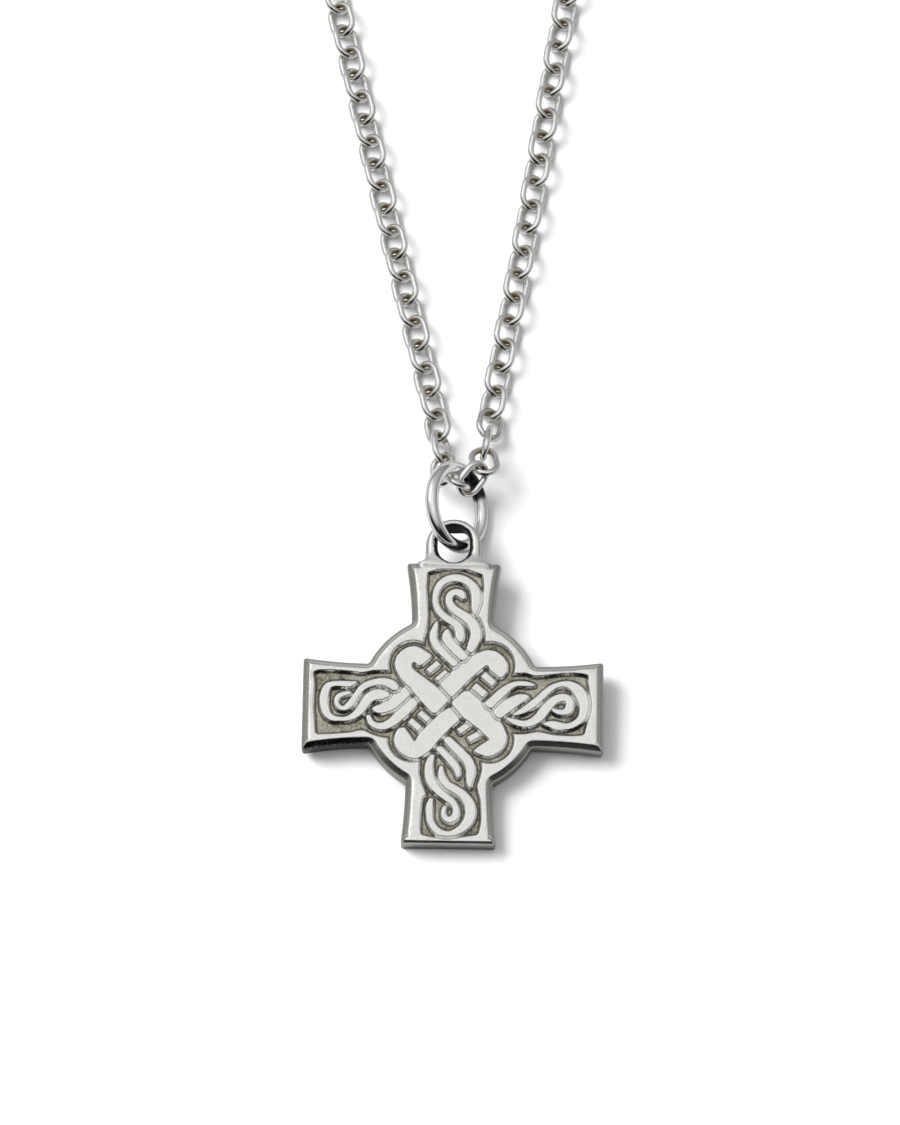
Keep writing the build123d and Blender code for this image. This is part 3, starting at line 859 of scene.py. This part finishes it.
def cross_piece():
    """The cast cross: relief face, bevelled edge, walls, flat back and slot eye."""
    loops = bevel_loops()
    rim = loops[-1][0]
    count = len(rim)
    edges = [(i, (i + 1) % count) for i in range(count)]
    flat = [Vector(p) for p in (*rim, *face_points(rim))]
    spots, _, tiles, *_ = delaunay_2d_cdt(flat, edges, [], 1, 1e-6)
    at = np.array([tuple(p) for p in spots])
    height, sunk = heights(at)
    # painted dark reflection on the walls that face the foot
    dark_paint = wall_painted_dark(at)
    height[:count], sunk[:count], dark_paint[:count] = THICKNESS, 0, 0
    faces = [tuple(tile) for tile in tiles]
    # layers of points from face to back: places, heights, then how sunk, how much a side, how dark it is
    # painted
    layers = [(at, height, sunk, 0 * sunk, dark_paint)]
    for loop, tops, dark in loops[-2::-1]:
        layers.append((loop, tops, 0 * tops, np.clip((THICKNESS - tops) / SIDE_SPREAD - 0.1, 0, 1), dark))
    back, none = outline(BACK_EDGE), np.zeros(count)
    layers.append((back, none, none, none + 1, none))
    above, base = 0, len(at)
    for _ in layers[1:]:
        faces += [(above + i, base + i, base + j, above + j) for i, j in edges]
        above, base = base, base + count
    _, _, tiles, source, *_ = delaunay_2d_cdt([Vector(p) for p in back], edges, [], 1, 1e-6)
    faces += [tuple(above + source[k][0] for k in tile[::-1]) for tile in tiles]
    eye, eye_faces, eye_painted_dark = eye_shell()
    eye_side = np.clip((EYE_TOP - eye[:, 2]) / SIDE_SPREAD, 0, 1)
    layers.append((eye[:, :2], eye[:, 2], 0 * eye_side, eye_side, eye_painted_dark))
    faces += [tuple(base + k for k in face) for face in eye_faces]
    places, tall, *marks = (np.concatenate(column) for column in zip(*layers))
    piece = new_piece("cross", np.column_stack([places, tall]), faces, cast_silver())
    for name, values in zip(("sunk", "side", "painted_dark_share"), marks):
        mark_points(piece, name, values)
    shape = bmesh.new()
    shape.from_mesh(piece.data)
    bmesh.ops.recalc_face_normals(shape, faces=shape.faces)
    shape.to_mesh(piece.data)
    shape.free()
    piece.data.transform(Matrix.Rotation(LEAN, 4, "X") @ Matrix.Translation((0, FOOT_TO_CENTRE * MM, 0)))
    return piece


def hoop(radius, wire, around, over):
    """Points and faces of a round wire hoop in its own plane."""
    verts = []
    for i in range(around):
        a = 2 * math.pi * i / around
        for j in range(over):
            b = 2 * math.pi * j / over
            out = radius + wire / 2 * math.cos(b)
            verts.append((out * math.cos(a), out * math.sin(a), wire / 2 * math.sin(b)))
    return verts, [(a, d, c, b) for a, b, c, d in wrapped_faces(around, over)]


def pendant_ring_piece():
    """Plain ring through the eye, with painted shade near black where the chain sits on it."""
    silver = polished_silver("ring silver", RING_SILVER, rough_from=0.07, rough_to=0.15, fineness=500,
                             scratch=0.4)
    verts, faces = hoop(RING_RADIUS, RING_WIRE, *RING_STEPS)
    piece = new_piece("ring", verts, faces, silver)
    places = np.degrees(np.arctan2([v[1] for v in verts], [v[0] for v in verts]))
    # painted shade near black where the chain sits on the ring
    (start, fade_in), (end, fade_out) = RING_PAINTED_SHADE
    dark_paint = np.clip(np.minimum((places - start) / fade_in, (end - places) / fade_out), 0, 1)
    mark_points(piece, "painted_dark_share", dark_paint)
    down = Vector((math.cos(RING_LEAN) * math.cos(RING_SWING), math.cos(RING_LEAN) * math.sin(RING_SWING),
                   -math.sin(RING_LEAN)))
    along = Vector((-math.sin(RING_SWING), math.cos(RING_SWING), 0))
    turn = Matrix((down, along, down.cross(along))).transposed().to_4x4()
    piece.data.transform(Matrix.Translation(Vector(RING_AT) * MM) @ turn)
    return piece


def laid(heading, roll, at):
    """Place and turn of a small piece of the clasp."""
    return (Matrix.Translation(Vector(at) * MM) @ Matrix.Rotation(math.radians(heading), 4, "Z")
            @ Matrix.Rotation(math.radians(roll), 4, "X"))


def link_places():
    """Middle and turn of every link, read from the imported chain."""
    shape = bmesh.new()
    shape.from_mesh(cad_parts["chain"].data)
    bmesh.ops.remove_doubles(shape, verts=shape.verts, dist=1e-7)
    shape.verts.ensure_lookup_table()
    seen = [False] * len(shape.verts)
    places = []
    for start in shape.verts:
        if seen[start.index]:
            continue
        seen[start.index] = True
        stack, tiles = [start], set()
        while stack:
            vert = stack.pop()
            tiles.update(vert.link_faces)
            for edge in vert.link_edges:
                other = edge.other_vert(vert)
                if not seen[other.index]:
                    seen[other.index] = True
                    stack.append(other)
        corners = np.array([[v.co[:] for v in face.verts] for face in tiles])
        first, second = corners[:, 1] - corners[:, 0], corners[:, 2] - corners[:, 0]
        area = np.linalg.norm(np.cross(first, second), axis=1)
        middles = corners.mean(1)
        centre = (middles * area[:, None]).sum(0) / area.sum()
        off = middles - centre
        _, axes = np.linalg.eigh((off * area[:, None]).T @ off)
        long_way, wide_way = axes[:, 2], axes[:, 1]
        turn = Matrix((long_way, wide_way, np.cross(long_way, wide_way))).transposed()
        places.append((Vector(centre), turn.to_euler()))
    shape.free()
    return places


def link_tree(material):
    """Node tree that sets an oval link of round wire on every point it is given."""
    shape = ("Geometry", "Geometry")
    sizes = [(title, "Float", value) for title, value in LINK_SIZES.items()]
    group, tree, given, out = new_group("chain links", "GeometryNodeTree", [shape, *sizes], [shape])

    def half_of(value):
        return tree.math("MULTIPLY", value, 0.5)

    def marked(geometry, name, value):
        inputs = {"Geometry": geometry, "Name": name, "Value": value}
        return tree.add("GeometryNodeStoreNamedAttribute", inputs).outputs["Geometry"]

    def circle(points, radius):
        inputs = {"Resolution": points, "Radius": radius}
        return tree.add("GeometryNodeCurvePrimitiveCircle", inputs).outputs["Curve"]

    bend = half_of(tree.math("SUBTRACT", given["Link width"], given["Wire"]))
    half = half_of(tree.math("SUBTRACT", given["Link length"], given["Link width"]))
    # the two halves of a circle part along the link's length
    at = tree.add("GeometryNodeInputPosition", {}).outputs[0]
    place = tree.add("ShaderNodeSeparateXYZ", {0: at}).outputs
    side = tree.math("SIGN", tree.math("ADD", place["X"], TINY))
    shift = tree.add("ShaderNodeCombineXYZ", {"X": tree.math("MULTIPLY", side, half)}).outputs[0]
    parted = tree.add("GeometryNodeSetPosition", {"Geometry": circle(LINK_STEPS, bend), "Offset": shift})
    section = circle(WIRE_STEPS, half_of(given["Wire"]))
    inputs = {"Curve": parted.outputs["Geometry"], "Profile Curve": section}
    wire = tree.add("GeometryNodeCurveToMesh", inputs).outputs["Mesh"]
    # brown painted shade round the inside of the link's ends, where the next link sits
    along = tree.math("SUBTRACT", tree.math("ABSOLUTE", place["X"]), half)
    squares = tree.math("ADD", tree.math("POWER", along, 2), tree.math("POWER", place["Y"], 2))
    inwards = tree.math("SUBTRACT", bend, tree.math("SQRT", squares))
    at_end = tree.span(along, *(far * MM for far in LINK_SHADE_ALONG))
    inside = tree.span(inwards, *(far * MM for far in LINK_SHADE_INWARDS))
    link_shade = marked(wire, "link_shade", tree.math("MULTIPLY", at_end, inside))
    soft = tree.add("GeometryNodeSetShadeSmooth", {"Geometry": link_shade}).outputs["Geometry"]
    turn = tree.add("GeometryNodeInputNamedAttribute", {"Name": "link_turn"}, data_type="FLOAT_VECTOR")
    to_turn = tree.add("FunctionNodeEulerToRotation", {0: turn.outputs["Attribute"]}).outputs[0]
    inputs = {"Points": given["Geometry"], "Instance": soft, "Rotation": to_turn}
    spots = tree.add("GeometryNodeInstanceOnPoints", inputs).outputs["Instances"]
    real = tree.add("GeometryNodeRealizeInstances", {"Geometry": spots}).outputs["Geometry"]
    # painted dark reflection, near black, where the wire turns towards the foot of the cross
    outwards = tree.add("GeometryNodeInputNormal", {}).outputs["Normal"]
    painted_dark_links = marked(real, "painted_dark_share", tree.span(tree.facing(outwards, PAINTED_DARK_TOWARDS), *PAINTED_DARK_FACING))
    finish = tree.add("GeometryNodeSetMaterial", {"Geometry": painted_dark_links, "Material": material})
    tree.fill(out, {"Geometry": finish.outputs["Geometry"]})
    return group


def grown(name, points, turns, tree, sizes):
    """Runs a node tree over points that carry their turns and returns the plain mesh."""
    mesh = bpy.data.meshes.new(name + " points")
    mesh.from_pydata(points, [], [])
    mark = mesh.attributes.new("link_turn", "FLOAT_VECTOR", "POINT")
    mark.data.foreach_set("vector", np.array(turns, np.float32).ravel())
    carrier = placed(name + " carrier", mesh)
    step = carrier.modifiers.new("links", "NODES")
    step.node_group = tree
    for item in tree.interface.items_tree:
        if item.in_out == "INPUT" and item.name in sizes:
            step[item.identifier] = sizes[item.name]
    seen = carrier.evaluated_get(bpy.context.evaluated_depsgraph_get())
    plain = bpy.data.meshes.new_from_object(seen)
    carrier.modifiers.remove(step)
    bpy.data.objects.remove(carrier)
    return placed(name, plain)


def chain_piece():
    """The whole chain."""
    silver = polished_silver("chain silver", CHAIN_SILVER, rough_from=0.13, rough_to=0.25, fineness=1500,
                             scratch=0.5)
    places = link_places()
    return grown("links", [at for at, _ in places], [tuple(turn) for _, turn in places], link_tree(silver),
                 LINK_SIZES)


def clasp_piece():
    """Bolt ring with its small eye."""
    silver = polished_silver("clasp silver", CLASP_SILVER, rough_from=0.07, rough_to=0.15, fineness=900,
                             scratch=0.4)
    verts, faces = hoop(CLASP_RADIUS, CLASP_WIRE, *CLASP_STEPS)
    more, wraps = hoop(CLASP_EYE_RADIUS, CLASP_EYE_WIRE, *CLASP_EYE_STEPS)
    base = len(verts)
    verts += [(x - CLASP_EYE_AT, y, z) for x, y, z in more]
    faces += [tuple(base + k for k in face) for face in wraps]
    piece = new_piece("bolt_ring", verts, faces, silver)
    piece.data.transform(laid(CLASP_HEADING, CLASP_ROLL, CLASP_AT))
    return piece


def end_ring_piece():
    """Plain ring that the clasp closes on."""
    silver = polished_silver("end ring silver", CLASP_SILVER, rough_from=0.07, rough_to=0.15, fineness=900,
                             scratch=0.4)
    verts, faces = hoop(END_RING_RADIUS, END_RING_WIRE, *END_RING_STEPS)
    piece = new_piece("end_ring", verts, faces, silver)
    piece.data.transform(laid(CLASP_HEADING, END_RING_ROLL, END_RING_AT))
    return piece


def lay_floor():
    """Plain pale floor just under the pendant, duller where the silver mirrors it."""
    finish, shader, tree = new_material("pale floor")
    mirrored = tree.add("ShaderNodeLightPath", {}).outputs["Is Glossy Ray"]
    tone = tree.mix(mirrored, FLOOR_PALE, FLOOR_MIRRORED)
    tree.fill(shader, {"Base Color": tone, "Roughness": 0.9, "Specular IOR Level": 0.1})
    corners = [(-FLOOR_HALF, -FLOOR_HALF), (FLOOR_HALF, -FLOOR_HALF), (FLOOR_HALF, FLOOR_HALF),
               (-FLOOR_HALF, FLOOR_HALF)]
    floor = new_piece("floor", [(x, y, FLOOR_AT) for x, y in corners], [(0, 1, 2, 3)], finish, smooth=False)


def light_studio():
    """A soft light from the upper left in a pale room that is dark on the near side."""
    lamp = bpy.data.lights.new("key light", "AREA")
    lamp.shape = "RECTANGLE"
    lamp.size = lamp.size_y = LAMP_SIZE
    lamp.energy = LAMP_POWER
    holder = placed("key light", lamp)
    holder.location = LAMP_AT
    holder.rotation_euler = (Vector(LAMP_TOWARDS) - Vector(LAMP_AT)).to_track_quat("-Z", "Y").to_euler()
    holder.visible_glossy = False
    world = bpy.data.worlds.new("studio room")
    world.use_nodes = True
    bpy.context.scene.world = world
    world.node_tree.nodes.clear()
    tree = Tree(world.node_tree)
    way = tree.add("ShaderNodeTexCoord", {}).outputs["Generated"]
    split = tree.add("ShaderNodeSeparateXYZ", {0: way}).outputs
    shade = tree.ramp(split["Z"], (0.0, 0.22), (0.25, 0.30), (0.55, 0.44), (0.8, 0.62), (0.93, 0.86),
                      (1.0, 0.96))
    # dark on the near side unless high up, and a bright patch towards the light
    far_side = tree.span(split["Y"], -0.56, -0.28, 0.04)
    high_up = tree.span(split["Z"], 0.52, 0.72, 0.04)
    patch = tree.span(tree.facing(way, PATCH_TOWARDS), 0.80, 0.97, 0.0, 1.1, kind="SMOOTHSTEP")
    lit = tree.math("ADD", tree.math("MAXIMUM", far_side, high_up), patch)
    room = tree.add("ShaderNodeBackground", {"Color": shade, "Strength": lit}).outputs[0]
    seen = tree.add("ShaderNodeBackground", {"Color": ROOM_PALE}).outputs[0]
    path = tree.add("ShaderNodeLightPath", {}).outputs["Is Camera Ray"]
    pick = tree.add("ShaderNodeMixShader", {"Fac": path, 1: room, 2: seen}).outputs[0]
    tree.add("ShaderNodeOutputWorld", {"Surface": pick})


def set_camera():
    """Camera at the photograph's viewing angle."""
    lens = bpy.data.cameras.new("camera")
    lens.sensor_width = CAMERA_SENSOR
    lens.lens = CAMERA_LENS
    lens.clip_start, lens.clip_end = 0.01, 20
    holder = placed("camera", lens)
    turn = Matrix((Vector(CAMERA_RIGHT), Vector(CAMERA_UP), -Vector(CAMERA_FORWARD))).transposed().to_4x4()
    holder.matrix_world = Matrix.Translation(Vector(CAMERA_AT) * MM) @ turn
    bpy.context.scene.camera = holder


set_camera()
lay_floor()
light_studio()
bpy.context.scene.view_settings.view_transform = "Standard"

dressed = {
    "cross_pendant": cross_piece(),
    "pendant_ring": pendant_ring_piece(),
    "chain": chain_piece(),
    "clasp": clasp_piece(),
    "clasp_ring": end_ring_piece(),
}
for node, piece in dressed.items():
    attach(piece, "root")
    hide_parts(node)
